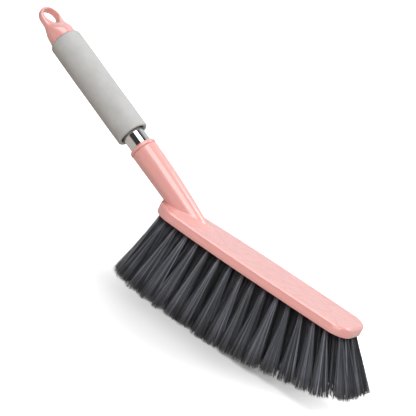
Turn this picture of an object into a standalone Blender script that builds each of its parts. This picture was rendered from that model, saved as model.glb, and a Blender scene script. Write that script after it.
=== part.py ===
"""Long-handle cleaning brush: a moulded head with four rows of tufts, a steel tube handle
with a soft grip, and a hanging cap that turns in the tube's end.

Metres, +Z up. The brush stands on its trimmed bristle tips. It is modelled with the block's
underside at zero and the neck end of the block at x = 0, and is then moved as one piece, so
that the origin lies under the middle of the whole brush, at its feet.
"""
import math

import bmesh
import bpy
from mathutils import Matrix, Vector

# Clearances
GAP = 0.0003
OVERRUN = 0.002

# Block of the head
BLOCK_LENGTH = 0.202
BLOCK_WIDTH = 0.0472
BLOCK_THICKNESS = 0.0087
NOSE_CORNER = 0.0156
HEEL_ROUND = 0.020
WIDEST = 0.111
HEEL_NARROWING = 0.0061
NOSE_NARROWING = 0.0010
TOP_ROUND = 0.0018
BOTTOM_BEVEL = 0.0005
POCKET_RIM = 0.0024
POCKET_DEPTH = 0.0024

# Handle line: it leaves the block's top in the middle plane and rises towards the neck end
HANDLE_ANGLE = math.radians(20.9)
HANDLE_FOOT = 0.033

# Neck, measured along the handle line from its mouth down to the block
COLLAR_TOP = 0.0781
COLLAR_HEIGHT = 0.0037
COLLAR_RADIUS = 0.0120
COLLAR_ROUND = 0.0013
COLLAR_GROOVE_DEPTH = 0.0006
COLLAR_GROOVE_HEIGHT = 0.0006
NECK_MOUTH_RADIUS = 0.0117
NECK_FOOT_HALF_WIDTH = 0.0094
NECK_HEEL = 0.0008
NECK_FRONT = 0.0500
NECK_TOP_REACH = 0.0453
NECK_FLARE = 0.0026
NECK_FLARE_HEIGHT = 0.0036
NECK_ROOT = 0.0030
SOCKET_DEPTH = 0.036

# Tube
TUBE_RADIUS = 0.0095
TUBE_WALL = 0.0006

# Grip and its liner
GRIP_BOTTOM = 0.0913
GRIP_LENGTH = 0.1055
GRIP_RADIUS = 0.01444
GRIP_WALL = 0.0029
GRIP_BOTTOM_ROUND = 0.0011
GRIP_MOUTH_ROUND = 0.0006
GRIP_TOP_ROUND = 0.0024
LINER_SETBACK = 0.0016

# Hanging cap
CAP_HEIGHT = 0.0346
CAP_RADIUS = 0.0122
CAP_TURN = math.radians(-13.8)
SPIGOT_LENGTH = 0.018
SPIGOT_CHAMFER = 0.0010
SPIGOT_WALL = 0.0020
LOOP_HALF_WIDTH = 0.0112
LOOP_THICKNESS = 0.0073
LOOP_HOLE_RADIUS = 0.0078
LOOP_HOLE_RISE = 0.0008
LOOP_HOLE_FOOT = 0.0152
LOOP_HOLE_FOOT_HALF_WIDTH = 0.0025
LOOP_HOLE_DIP = math.radians(12)
LOOP_SQUARENESS = 3.5
LOOP_THINNING = 0.25

# Tufts
TUFT_PITCH = 0.01187
FIRST_TUFT = 0.0170
LAST_TUFT_MARGIN = 0.0062
OUTER_ROW_INSET = 0.0055
INNER_ROW = 0.0060
HEEL_TUFT_MARGIN = 0.0098
NOSE_TUFT_MARGIN = 0.0056
END_TUFT_SPACING = 0.0104
ROW_MARGIN = 0.0009
STRAND_RING = 0.0019
STRAND_RADIUS_ROOT = 0.00070
STRAND_RADIUS_TIP = 0.00095
BRISTLE_LENGTH = 0.0623
NOSE_RISE = 0.0155
RISE_START = 0.086
RISE_POWER = 1.85
LEAN_CENTRE = 0.067
LEAN_PER_LENGTH = 0.546
SIDE_LEAN = 0.20
NOSE_FLARE = 0.20
NOSE_FLARE_START = 0.171
TUFT_SPREAD_LENGTHWISE = 2.2
TUFT_SPREAD_CROSSWISE = 2.9
TUFT_TURN = math.radians(25)
BACKING_THICKNESS = 0.0012

# Wires that tie the folded tufts down
ANCHOR_OVERHANG = 0.0012
ANCHOR_WIDTH = 0.0013
ANCHOR_THICKNESS = 0.0006

# Counts of facets, and the least angle between faces that stays a sharp edge
ROUND_SEGMENTS = 40
CORNER_SEGMENTS = 8
SIDE_SEGMENTS = 8
EDGE_SEGMENTS = 4
NECK_SECTIONS = 14
STRAND_SIDES = 3
STRANDS_ROUND_CENTRE = 6
SHARP_ANGLE = math.radians(32)

# Values worked out from the sizes above
NECK_MOUTH = COLLAR_TOP - COLLAR_HEIGHT - GAP
GRIP_TOP = GRIP_BOTTOM + GRIP_LENGTH
GRIP_BORE = GRIP_RADIUS - GRIP_WALL
TUBE_BORE = TUBE_RADIUS - TUBE_WALL
CAP_SEAT = GRIP_TOP + GAP
SOCKET_BOTTOM = NECK_MOUTH - SOCKET_DEPTH
LOOP_CENTRE = CAP_HEIGHT - LOOP_HALF_WIDTH
OUTER_ROW = BLOCK_WIDTH / 2 - OUTER_ROW_INSET
TUFT_REACH = STRAND_RING + STRAND_RADIUS_ROOT
ROW_SPLIT = INNER_ROW + TUFT_REACH + ROW_MARGIN


def clear_scene():
    """Remove whatever the file holds, so that only the brush is left."""
    for thing in list(bpy.data.objects):
        bpy.data.objects.remove(thing, do_unlink=True)


def make_material(name, colour, roughness, metallic=0.0):
    """A plain finish: colour, roughness and how metallic it is."""
    material = bpy.data.materials.new(name)
    material.use_nodes = True
    shader = material.node_tree.nodes["Principled BSDF"]
    shader.inputs["Base Color"].default_value = (*colour, 1.0)
    shader.inputs["Roughness"].default_value = roughness
    shader.inputs["Metallic"].default_value = metallic
    material.diffuse_color = (*colour, 1.0)
    return material


def pink_plastic():
    """Moulded polypropylene of the head, the collar and the cap."""
    return make_material("pink_polypropylene", (0.90, 0.52, 0.50), 0.42)


def chromed_steel():
    """Bright plated tube."""
    return make_material("chromed_steel", (0.80, 0.80, 0.82), 0.10, 1.0)


def grey_foam():
    """Fine-celled soft foam of the grip."""
    return make_material("grey_foam", (0.56, 0.56, 0.55), 0.85)


def black_plastic():
    """Liner between the tube and the soft grip."""
    return make_material("black_plastic", (0.03, 0.03, 0.035), 0.55)


def bristle_fibre():
    """Dark grey synthetic filament."""
    return make_material("dark_fibre", (0.06, 0.06, 0.068), 0.55)


def anchor_wire():
    """Flat galvanised wire."""
    return make_material("anchor_wire", (0.55, 0.55, 0.56), 0.35, 1.0)


def object_from(name, mesh_data, material=None, parent=None):
    """Write a bmesh to a new object, under a parent when it has one."""
    bmesh.ops.recalc_face_normals(mesh_data, faces=mesh_data.faces)
    mesh = bpy.data.meshes.new(name)
    mesh_data.to_mesh(mesh)
    mesh_data.free()
    if material:
        mesh.materials.append(material)
    thing = bpy.data.objects.new(name, mesh)
    bpy.context.scene.collection.objects.link(thing)
    thing.parent = parent
    return thing


def smooth(thing):
    """Shade round, with its real edges kept sharp."""
    thing.data.shade_smooth()
    thing.data.set_sharp_from_angle(angle=SHARP_ANGLE)


def as_tool(thing):
    """Mark an object as a tool that shapes another."""
    thing.hide_render = True
    thing.display_type = "WIRE"
    return thing


def combine(thing, tool, operation):
    """Join, cut or trim an object with a tool."""
    modifier = thing.modifiers.new(operation.lower() + "_" + tool.name, "BOOLEAN")
    modifier.operation = operation
    modifier.object = as_tool(tool)
    modifier.solver = "EXACT"


def loft(rings):
    """A closed body through rings of points, with a flat face on each end."""
    mesh_data = bmesh.new()
    rows = [[mesh_data.verts.new(point) for point in ring] for ring in rings]
    count = len(rows[0])
    for lower, upper in zip(rows[:-1], rows[1:]):
        for index in range(count):
            after = (index + 1) % count
            mesh_data.faces.new((lower[index], lower[after], upper[after], upper[index]))
    mesh_data.faces.new(rows[0])
    mesh_data.faces.new(rows[-1])
    return mesh_data


def turned(profile):
    """A ring-shaped body turned about Z from a closed profile of (radius, height)."""
    mesh_data = bmesh.new()
    verts = [mesh_data.verts.new((radius, 0, height)) for radius, height in profile]
    edges = [mesh_data.edges.new((a, b)) for a, b in zip(verts, verts[1:] + verts[:1])]
    bmesh.ops.spin(mesh_data, geom=verts + edges, axis=(0, 0, 1), cent=(0, 0, 0),
                   angle=math.tau, steps=ROUND_SEGMENTS, use_merge=True)
    return mesh_data


def arc(centre_radius, centre_height, radius, start, end):
    """Points of a rounded edge in a turned profile, angles in degrees from outwards."""
    points = []
    for index in range(EDGE_SEGMENTS + 1):
        angle = math.radians(start + (end - start) * index / EDGE_SEGMENTS)
        points.append((centre_radius + radius * math.cos(angle),
                       centre_height + radius * math.sin(angle)))
    return points


def box(low, high):
    """A box between two corners."""
    mesh_data = bmesh.new()
    bmesh.ops.create_cube(mesh_data, size=1)
    low, high = Vector(low), Vector(high)
    stretch = Matrix.Diagonal((*(high - low), 1))
    bmesh.ops.transform(mesh_data, matrix=Matrix.Translation((low + high) / 2) @ stretch,
                        verts=mesh_data.verts)
    return mesh_data


def draw_in(x):
    """Share of the full width that is left at x: the sides draw in towards both ends."""
    if x < WIDEST:
        narrowing, away = HEEL_NARROWING, (WIDEST - x) / WIDEST
    else:
        narrowing, away = NOSE_NARROWING, (x - WIDEST) / (BLOCK_LENGTH - WIDEST)
    return 1 - narrowing * away ** 2 / (BLOCK_WIDTH / 2)


def block_outline(inset, height):
    """The block's outline: a fully rounded neck end, long sides and a nose with round corners."""
    half_width = BLOCK_WIDTH / 2 - inset
    nose, heel = NOSE_CORNER - inset, HEEL_ROUND - inset
    corner_angles = [math.pi / 2 * index / CORNER_SEGMENTS for index in range(CORNER_SEGMENTS + 1)]
    points = [(BLOCK_LENGTH - NOSE_CORNER + nose * math.cos(angle),
               half_width - nose + nose * math.sin(angle)) for angle in corner_angles]
    straight = BLOCK_LENGTH - NOSE_CORNER - HEEL_ROUND
    points += [(HEEL_ROUND + straight * (1 - index / SIDE_SEGMENTS), half_width)
               for index in range(1, SIDE_SEGMENTS)]
    points += [(HEEL_ROUND - heel * math.sin(angle), half_width * math.cos(angle))
               for angle in corner_angles]
    points[-1] = (inset, 0)
    points += [(x, -y) for x, y in reversed(points[:-1])]
    return [Vector((x, y * draw_in(x), height)) for x, y in points]


def block_body():
    """The block: straight walls, a fine bevel below and a round edge on top."""
    rings = [block_outline(BOTTOM_BEVEL, 0), block_outline(0, BOTTOM_BEVEL)]
    for index in range(EDGE_SEGMENTS + 1):
        angle = math.pi / 2 * index / EDGE_SEGMENTS
        inset = TOP_ROUND * (1 - math.cos(angle))
        rings.append(block_outline(inset, BLOCK_THICKNESS - TOP_ROUND * (1 - math.sin(angle))))
    return loft(rings)


def neck_sides(share):
    """Lower and upper point of the neck in the middle plane, from its mouth to the block."""
    foot = Vector((HANDLE_FOOT, 0, BLOCK_THICKNESS))
    upwards = Vector((-math.cos(HANDLE_ANGLE), 0, math.sin(HANDLE_ANGLE)))
    outwards = Vector((math.sin(HANDLE_ANGLE), 0, math.cos(HANDLE_ANGLE))) * NECK_MOUTH_RADIUS
    mouth = foot + upwards * NECK_MOUTH
    lower = (mouth - outwards).lerp(Vector((NECK_HEEL, 0, BLOCK_THICKNESS)), share)
    bend = mouth + outwards - upwards * NECK_TOP_REACH
    upper_start = (mouth + outwards).lerp(bend, share)
    upper_end = bend.lerp(Vector((NECK_FRONT, 0, BLOCK_THICKNESS)), share)
    return lower, upper_start.lerp(upper_end, share)


def neck_body():
    """The neck: a round mouth, a straight lower side and a curved upper side, level on the block."""
    rings = []
    for index in range(NECK_SECTIONS + 1):
        share = 1 - (1 - index / NECK_SECTIONS) ** 2
        lower, upper = neck_sides(share)
        centre, reach = (lower + upper) / 2, (upper - lower) / 2
        height = centre.z - BLOCK_THICKNESS
        half_width = NECK_MOUTH_RADIUS + (NECK_FOOT_HALF_WIDTH - NECK_MOUTH_RADIUS) * share ** 2
        half_width += NECK_FLARE * max(0, 1 - height / NECK_FLARE_HEIGHT) ** 2
        across = Vector((0, half_width, 0))
        angles = [math.tau * step / ROUND_SEGMENTS for step in range(ROUND_SEGMENTS)]
        rings.append([centre + reach * math.cos(angle) + across * math.sin(angle) for angle in angles])
    middle = sum(rings[-1], Vector()) / ROUND_SEGMENTS
    rings.append([point + (middle - point).normalized() * NECK_ROOT - Vector((0, 0, NECK_ROOT))
                  for point in rings[-1]])
    return loft(rings)


def make_head(parent, handle):
    """The head: block and neck in one moulding, with a pocket for the tufts and a socket."""
    head = object_from("brush_head", block_body(), pink_plastic(), parent)
    neck = object_from("neck_tool", neck_body(), None, parent)
    combine(head, neck, "UNION")
    pocket_rings = [block_outline(POCKET_RIM, -OVERRUN), block_outline(POCKET_RIM, POCKET_DEPTH)]
    combine(head, object_from("pocket_tool", loft(pocket_rings), None, parent), "DIFFERENCE")
    bore = bmesh.new()
    bmesh.ops.create_cone(bore, cap_ends=True, segments=ROUND_SEGMENTS, radius1=TUBE_RADIUS + GAP,
                          radius2=TUBE_RADIUS + GAP, depth=SOCKET_DEPTH + OVERRUN)
    socket = object_from("socket_tool", bore, None, handle)
    socket.location.z = SOCKET_BOTTOM + (SOCKET_DEPTH + OVERRUN) / 2
    combine(head, socket, "DIFFERENCE")
    smooth(head)
    return head


def make_collar(handle):
    """Ring that dresses the mouth of the neck, with a fine groove where it meets it."""
    bore = TUBE_RADIUS + GAP
    waist = COLLAR_RADIUS - COLLAR_GROOVE_DEPTH
    crown = COLLAR_RADIUS - COLLAR_ROUND
    profile = [(bore, 0), (waist, 0), (waist, COLLAR_GROOVE_HEIGHT),
               (COLLAR_RADIUS, COLLAR_GROOVE_HEIGHT + COLLAR_GROOVE_DEPTH)]
    profile += arc(crown, COLLAR_HEIGHT - COLLAR_ROUND, COLLAR_ROUND, 0, 90)
    profile += [(bore, COLLAR_HEIGHT)]
    collar = object_from("neck_collar", turned(profile), pink_plastic(), handle)
    collar.location.z = COLLAR_TOP - COLLAR_HEIGHT
    smooth(collar)


def make_tube(handle):
    """Plated steel tube, from the bottom of the socket to the top of the grip."""
    low, high = SOCKET_BOTTOM + GAP, GRIP_TOP
    profile = [(TUBE_BORE, low), (TUBE_RADIUS, low), (TUBE_RADIUS, high), (TUBE_BORE, high)]
    tube = object_from("handle_tube", turned(profile), chromed_steel(), handle)
    smooth(tube)


def make_liner(handle):
    """Stiff sleeve that carries the soft grip on the tube, set back in the grip's mouth."""
    low, high = GRIP_BOTTOM + LINER_SETBACK, GRIP_TOP
    inner, outer = TUBE_RADIUS + GAP, GRIP_BORE - GAP
    profile = [(inner, low), (outer, low), (outer, high), (inner, high)]
    liner = object_from("grip_liner", turned(profile), black_plastic(), handle)
    smooth(liner)


def make_grip(handle):
    """Soft sleeve with rounded ends."""
    low, high = GRIP_BOTTOM, GRIP_TOP
    profile = arc(GRIP_BORE + GRIP_MOUTH_ROUND, low + GRIP_MOUTH_ROUND, GRIP_MOUTH_ROUND, 180, 270)
    profile += arc(GRIP_RADIUS - GRIP_BOTTOM_ROUND, low + GRIP_BOTTOM_ROUND, GRIP_BOTTOM_ROUND, -90, 0)
    profile += arc(GRIP_RADIUS - GRIP_TOP_ROUND, high - GRIP_TOP_ROUND, GRIP_TOP_ROUND, 0, 90)
    profile += [(GRIP_BORE, high)]
    grip = object_from("grip_sleeve", turned(profile), grey_foam(), handle)
    smooth(grip)


def oval(height, half_thickness, half_width, squareness):
    """A ring across the cap: a circle for squareness 2, a soft-cornered slab for more."""
    ring = []
    for index in range(ROUND_SEGMENTS):
        angle = math.tau * index / ROUND_SEGMENTS
        x, y = math.cos(angle), math.sin(angle)
        power = 2 / squareness
        ring.append(Vector((math.copysign(abs(x) ** power, x) * half_thickness,
                            math.copysign(abs(y) ** power, y) * half_width, height)))
    return ring


def cap_body():
    """The cap above its seat: a round foot that flattens into the broad loop."""
    plate = LOOP_THICKNESS / 2
    # Height as a share of the loop's centre, thickness between plate and foot, width, squareness
    section_shares = ((0.00, 1.00, 1.00, 2.0), (0.12, 0.98, 0.99, 2.0), (0.24, 0.91, 1.00, 2.0),
                      (0.36, 0.73, 1.00, 2.2), (0.48, 0.47, 0.98, 2.6), (0.60, 0.25, 0.94, 3.0),
                      (0.72, 0.09, 0.92, 3.3), (0.86, 0.02, 0.915, 3.5))
    rings = []
    for height_share, thickness_share, width_share, squareness in section_shares:
        half_thickness = plate + (CAP_RADIUS - plate) * thickness_share
        rings.append(oval(LOOP_CENTRE * height_share, half_thickness, CAP_RADIUS * width_share, squareness))
    loop_steps = 3 * EDGE_SEGMENTS
    for index in range(loop_steps):
        angle = math.pi / 2 * index / loop_steps
        thinning = math.cos(angle) ** LOOP_THINNING
        rings.append(oval(LOOP_CENTRE + LOOP_HALF_WIDTH * math.sin(angle), plate * thinning,
                          LOOP_HALF_WIDTH * math.cos(angle), LOOP_SQUARENESS))
    return loft(rings)


def loop_hole():
    """The hanging hole: round above, with sides that draw in to a flat foot."""
    outline = [(-LOOP_HOLE_FOOT_HALF_WIDTH, LOOP_HOLE_FOOT), (LOOP_HOLE_FOOT_HALF_WIDTH, LOOP_HOLE_FOOT)]
    steps = 4 * EDGE_SEGMENTS
    for index in range(steps + 1):
        angle = (math.pi + 2 * LOOP_HOLE_DIP) * index / steps - LOOP_HOLE_DIP
        outline.append((LOOP_HOLE_RADIUS * math.cos(angle),
                        LOOP_CENTRE + LOOP_HOLE_RISE + LOOP_HOLE_RADIUS * math.sin(angle)))
    reach = CAP_RADIUS + OVERRUN
    rings = [[Vector((side * reach, y, z)) for y, z in outline] for side in (-1, 1)]
    return loft(rings)


def make_cap(handle):
    """Hanging cap: a loop above, a hollow spigot below that turns in the tube."""
    pivot = bpy.data.objects.new("cap_pivot", None)
    bpy.context.scene.collection.objects.link(pivot)
    pivot.parent = handle
    pivot.location.z = CAP_SEAT
    pivot.rotation_euler.z = CAP_TURN
    cap = object_from("hang_cap", cap_body(), pink_plastic(), pivot)
    spigot_radius = TUBE_BORE - GAP
    spigot_bore = spigot_radius - SPIGOT_WALL
    profile = [(spigot_bore, -SPIGOT_LENGTH), (spigot_radius - SPIGOT_CHAMFER, -SPIGOT_LENGTH),
               (spigot_radius, SPIGOT_CHAMFER - SPIGOT_LENGTH), (spigot_radius, SPIGOT_CHAMFER),
               (spigot_bore, SPIGOT_CHAMFER)]
    combine(cap, object_from("spigot_tool", turned(profile), None, pivot), "UNION")
    combine(cap, object_from("loop_hole_tool", loop_hole(), None, pivot), "DIFFERENCE")
    smooth(cap)
    return pivot


def bristle_reach(x):
    """How far below the block a strand that starts at x is trimmed: shorter towards the nose."""
    share = max(0, (x - RISE_START) / (BLOCK_LENGTH - NOSE_TUFT_MARGIN - RISE_START))
    return BRISTLE_LENGTH - NOSE_RISE * share ** RISE_POWER


def lean(x, y):
    """How far a tuft leans lengthwise and crosswise for each unit of its height."""
    nose = max(0, (x - NOSE_FLARE_START) / (BLOCK_LENGTH - NOSE_FLARE_START))
    lengthwise = LEAN_PER_LENGTH * (x - LEAN_CENTRE) / BLOCK_LENGTH + NOSE_FLARE * nose
    crosswise = (SIDE_LEAN + NOSE_FLARE * nose) * y / OUTER_ROW
    return lengthwise, crosswise


def strand(mesh_data, root, tip, turn):
    """One strand: a tapering prism from inside the backing to its level-cut tip."""
    rings = []
    for place, radius in ((root, STRAND_RADIUS_ROOT), (tip, STRAND_RADIUS_TIP)):
        ring = []
        for index in range(STRAND_SIDES):
            angle = turn + math.tau * index / STRAND_SIDES
            offset = Vector((radius * math.cos(angle), radius * math.sin(angle), 0))
            ring.append(mesh_data.verts.new(place + offset))
        rings.append(ring)
    for index in range(STRAND_SIDES):
        after = (index + 1) % STRAND_SIDES
        mesh_data.faces.new((rings[0][index], rings[0][after], rings[1][after], rings[1][index]))
    mesh_data.faces.new(rings[0])
    mesh_data.faces.new(rings[1])


def tuft(mesh_data, x, y, number):
    """One tuft: a middle strand and a ring of strands round it, spreading as they go down."""
    lengthwise, crosswise = lean(x, y)
    side = -1 if y < 0 else 1
    first = side * number * TUFT_TURN
    offsets = [(0, 0)]
    for index in range(STRANDS_ROUND_CENTRE):
        angle = first + side * math.tau * index / STRANDS_ROUND_CENTRE
        offsets.append((STRAND_RING * math.cos(angle), STRAND_RING * math.sin(angle)))
    root_height = BACKING_THICKNESS / 2
    for offset_x, offset_y in offsets:
        reach = bristle_reach(x + offset_x)
        fall = reach + root_height
        tip = Vector((x + lengthwise * fall + offset_x * TUFT_SPREAD_LENGTHWISE,
                      y + crosswise * fall + offset_y * TUFT_SPREAD_CROSSWISE, -reach))
        strand(mesh_data, Vector((x + offset_x, y + offset_y, root_height)), tip, first)


def outer_row_line(x):
    """Distance of an outer row from the middle plane: it follows the block's rounded ends."""
    heel = max(0, (HEEL_ROUND - x) / (HEEL_ROUND - OUTER_ROW_INSET))
    corner = NOSE_CORNER - OUTER_ROW_INSET
    nose = max(0, x - (BLOCK_LENGTH - NOSE_CORNER)) / corner
    reach = OUTER_ROW * math.sqrt(max(0, 1 - heel ** 2)) - corner * (1 - math.sqrt(max(0, 1 - nose ** 2)))
    return reach * draw_in(x) - OUTER_ROW_INSET * (1 - draw_in(x))


def outer_places(side):
    """Tufts of an outer row, from the neck end to the nose."""
    room = BLOCK_LENGTH - FIRST_TUFT - LAST_TUFT_MARGIN
    count = int(room / TUFT_PITCH) + 1
    along = [FIRST_TUFT + TUFT_PITCH * index for index in range(count)]
    clear = ROW_SPLIT + GAP + TUFT_REACH
    return [(x, side * outer_row_line(x)) for x in along if outer_row_line(x) > clear]


def inner_places(side):
    """Tufts of an inner row, set between those of the outer row."""
    return [(x + TUFT_PITCH / 2, side * INNER_ROW) for x, y in outer_places(side)[:-1]]


def end_places(x):
    """The two tufts across an end of the block."""
    return [(x, END_TUFT_SPACING / 2 * side) for side in (-1, 1)]


def tuft_groups():
    """Name of each group of tufts, their places, and the low and high corner of its backing."""
    half, split, edge = BLOCK_WIDTH / 2, ROW_SPLIT, GAP / 2
    first_inner, *between, last_inner = [x for x, y in inner_places(1)]
    heel = (HEEL_TUFT_MARGIN + first_inner) / 2
    nose = (BLOCK_LENGTH - NOSE_TUFT_MARGIN + last_inner) / 2
    low, high = -OVERRUN, BLOCK_LENGTH + OVERRUN
    return (
        ("front_row", outer_places(-1), (low, -half), (high, -split - edge)),
        ("rear_row", outer_places(1), (low, split + edge), (high, half)),
        ("front_inner_row", inner_places(-1), (heel + edge, edge - split), (nose - edge, -edge)),
        ("rear_inner_row", inner_places(1), (heel + edge, edge), (nose - edge, split - edge)),
        ("heel_end", end_places(HEEL_TUFT_MARGIN), (low, edge - split), (heel - edge, split - edge)),
        ("nose_end", end_places(BLOCK_LENGTH - NOSE_TUFT_MARGIN),
         (nose + edge, edge - split), (high, split - edge)),
    )


def make_tufts(parent):
    """Each group of tufts, with the slice of the block's underside that holds them."""
    fibre = bristle_fibre()
    for name, places, low, high in tuft_groups():
        slice_box = box((*low, 0), (*high, BACKING_THICKNESS))
        backing = object_from("tufts_" + name, slice_box, fibre, parent)
        rim = POCKET_RIM + GAP
        plate = loft([block_outline(rim, -OVERRUN), block_outline(rim, BACKING_THICKNESS + OVERRUN)])
        combine(backing, object_from("backing_tool_" + name, plate, None, parent), "INTERSECT")
        strands = bmesh.new()
        for number, (x, y) in enumerate(places):
            tuft(strands, x, y, number)
        combine(backing, object_from("strand_tool_" + name, strands, None, parent), "UNION")


def make_anchors(parent):
    """One flat wire over each group, which ties its folded tufts down under the pocket's roof."""
    wire = anchor_wire()
    height = BACKING_THICKNESS + GAP
    for name, places, *backing in tuft_groups():
        points = [Vector((*place, height)) for place in places]
        along = (points[-1] - points[0]).normalized()
        across = Vector((-along.y, along.x, 0)) * ANCHOR_WIDTH / 2
        upwards = Vector((0, 0, ANCHOR_THICKNESS))
        points[0] -= along * ANCHOR_OVERHANG
        points[-1] += along * ANCHOR_OVERHANG
        rings = [(point - across, point + across, point + across + upwards, point - across + upwards)
                 for point in points]
        object_from("anchor_wire_" + name, loft(rings), wire, parent)


def stand_on_origin(root):
    """Move the whole brush so that the origin is under the middle of it, at its feet."""
    bpy.context.view_layer.update()
    graph = bpy.context.evaluated_depsgraph_get()
    points = []
    for thing in bpy.context.scene.objects:
        if thing.type == "MESH" and not thing.hide_render:
            shape = thing.evaluated_get(graph)
            points += [shape.matrix_world @ vert.co for vert in shape.data.vertices]
    low = Vector([min(point[axis] for point in points) for axis in range(3)])
    high = Vector([max(point[axis] for point in points) for axis in range(3)])
    middle = (low + high) / 2
    root.location = (-middle.x, -middle.y, -low.z)
    bpy.context.view_layer.update()
    return low, high


def build():
    """Make the whole brush."""
    clear_scene()
    root = bpy.data.objects.new("brush_root", None)
    bpy.context.scene.collection.objects.link(root)
    handle = bpy.data.objects.new("handle_line", None)
    bpy.context.scene.collection.objects.link(handle)
    handle.parent = root
    handle.location = (HANDLE_FOOT, 0, BLOCK_THICKNESS)
    handle.rotation_euler = (0, HANDLE_ANGLE - math.pi / 2, 0)
    make_head(root, handle)
    make_collar(handle)
    make_tube(handle)
    make_liner(handle)
    make_grip(handle)
    pivot = make_cap(handle)
    make_tufts(root)
    make_anchors(root)
    low, high = stand_on_origin(root)
    print("size", [round(value, 5) for value in high - low])
    print("head frame at", [round(value, 6) for value in root.location])
    print("cap pivot at", [round(value, 6) for value in pivot.matrix_world.translation])
    print("handle direction", [round(value, 6) for value in handle.matrix_world.col[2][:3]])


build()
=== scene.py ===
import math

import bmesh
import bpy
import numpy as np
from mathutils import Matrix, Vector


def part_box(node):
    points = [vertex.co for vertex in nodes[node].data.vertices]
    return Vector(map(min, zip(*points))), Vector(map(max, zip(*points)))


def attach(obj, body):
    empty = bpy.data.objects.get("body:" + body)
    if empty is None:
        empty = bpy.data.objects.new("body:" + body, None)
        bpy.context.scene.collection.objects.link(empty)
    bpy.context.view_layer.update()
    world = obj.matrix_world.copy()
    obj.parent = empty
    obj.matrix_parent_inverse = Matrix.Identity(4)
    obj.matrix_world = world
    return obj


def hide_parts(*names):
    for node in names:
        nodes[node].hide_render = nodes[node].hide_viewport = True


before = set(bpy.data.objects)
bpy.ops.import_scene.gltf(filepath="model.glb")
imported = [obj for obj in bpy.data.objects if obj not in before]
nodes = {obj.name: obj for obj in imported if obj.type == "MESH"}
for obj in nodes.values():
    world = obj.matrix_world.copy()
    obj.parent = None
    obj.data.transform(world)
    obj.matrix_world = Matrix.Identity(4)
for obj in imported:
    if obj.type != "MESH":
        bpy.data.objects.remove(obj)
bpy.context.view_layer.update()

# %% [markdown]
# # A long-handle cleaning brush
#
# The brush has a moulded head with rows of dark tufts, a plated tube with a soft sleeve, and a
# hanging cap that turns. The solids of the frame give every place. This lesson dresses them: each
# part is modelled again with the detail that the eye looks for, and gets a finish of its own.

MM = 0.001

BLOCK_LENGTH = 202.0 * MM
BLOCK_WIDTH = 47.2 * MM
BLOCK_THICKNESS = 8.7 * MM
NOSE_CORNER = 15.6 * MM
HEEL_ROUND = 20.0 * MM

head_low, head_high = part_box("brush_head")
HEAD = Vector((head_high.x - BLOCK_LENGTH, 0, head_low.z))
HANDLE_ANGLE = math.radians(20.9)
HANDLE_FOOT = HEAD + Vector((33.0 * MM, 0, BLOCK_THICKNESS))
UP_HANDLE = Vector((-math.cos(HANDLE_ANGLE), 0, math.sin(HANDLE_ANGLE)))
print("neck end of the block, mm", [round(value / MM, 2) for value in HEAD])

# %% [markdown]
# ## The camera
#
# A product photographer stands well back with a long lens, so that the brush keeps its
# proportions. The camera's place and turn were found by fitting the outlines of block, neck,
# tube and grip. It is rolled by about 26 degrees, which makes the brush lie across the picture.

# %% The camera
CAMERA_PLACE = HEAD + Vector((589.70, -1215.81, 421.53)) * MM
CAMERA_TURN = (math.radians(71.6476), math.radians(-24.7795), math.radians(32.2696))

bpy.ops.object.camera_add(location=CAMERA_PLACE, rotation=CAMERA_TURN)
camera = bpy.context.object
camera.name = "photo_camera"
camera.data.lens = 146.685
camera.data.sensor_width = 36
camera.data.clip_start = 0.05
camera.data.clip_end = 50
bpy.context.scene.camera = camera
print("camera stands back", round((CAMERA_PLACE - HEAD).length, 3), "m")

# %% [markdown]
# ## Working as by hand
#
# An operator acts on whatever is selected, so each step starts from nothing selected and one
# active piece. Pieces of the handle are made upright at the origin, where a ring is easy to
# think about, and are then laid along the handle. Their place is written into the mesh.

# %% Selecting, placing and finishing a piece
def only(piece):
    """Deselect everything, then select one piece and make it active."""
    if bpy.context.object and bpy.context.object.mode != "OBJECT":
        bpy.ops.object.mode_set(mode="OBJECT")
    bpy.ops.object.select_all(action="DESELECT")
    piece.select_set(True)
    bpy.context.view_layer.objects.active = piece


def place_in_mesh(piece):
    """Write the object's place, turn and scale into its mesh."""
    only(piece)
    bpy.ops.object.transform_apply(location=True, rotation=True, scale=True)


def apply_modifiers(piece):
    """Apply every modifier in its order."""
    only(piece)
    for modifier in list(piece.modifiers):
        bpy.ops.object.modifier_apply(modifier=modifier.name)


def combine(piece, tool, operation):
    """Join a tool to a piece, or cut it out of the piece, and remove the tool."""
    step = piece.modifiers.new(tool.name, "BOOLEAN")
    step.object, step.operation, step.solver = tool, operation, "EXACT"
    apply_modifiers(piece)
    bpy.data.objects.remove(tool, do_unlink=True)


def shade(piece, angle=35):
    """Smooth shading that keeps edges sharper than an angle."""
    only(piece)
    bpy.ops.object.shade_smooth_by_angle(angle=math.radians(angle))


def lay_on_handle(piece, distance=0.0):
    """Lay a piece made upright at the origin along the handle, at a distance up from its foot."""
    piece.location = HANDLE_FOOT + UP_HANDLE * distance
    piece.rotation_euler = (0, HANDLE_ANGLE - math.pi / 2, 0)
    place_in_mesh(piece)


def finish_piece(piece, body, slot, material, *stands_for):
    """Material, body and the solids that a finished piece stands for. The slot is not used."""
    piece.data.materials.clear()
    piece.data.materials.append(material)
    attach(piece, body)
    if stands_for:
        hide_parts(*stands_for)
    faces = sum(len(face.vertices) - 2 for face in piece.data.polygons)
    size = [round(value / MM, 1) for value in piece.dimensions]
    print(piece.name, "size", size, "mm, triangles", faces)


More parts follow.
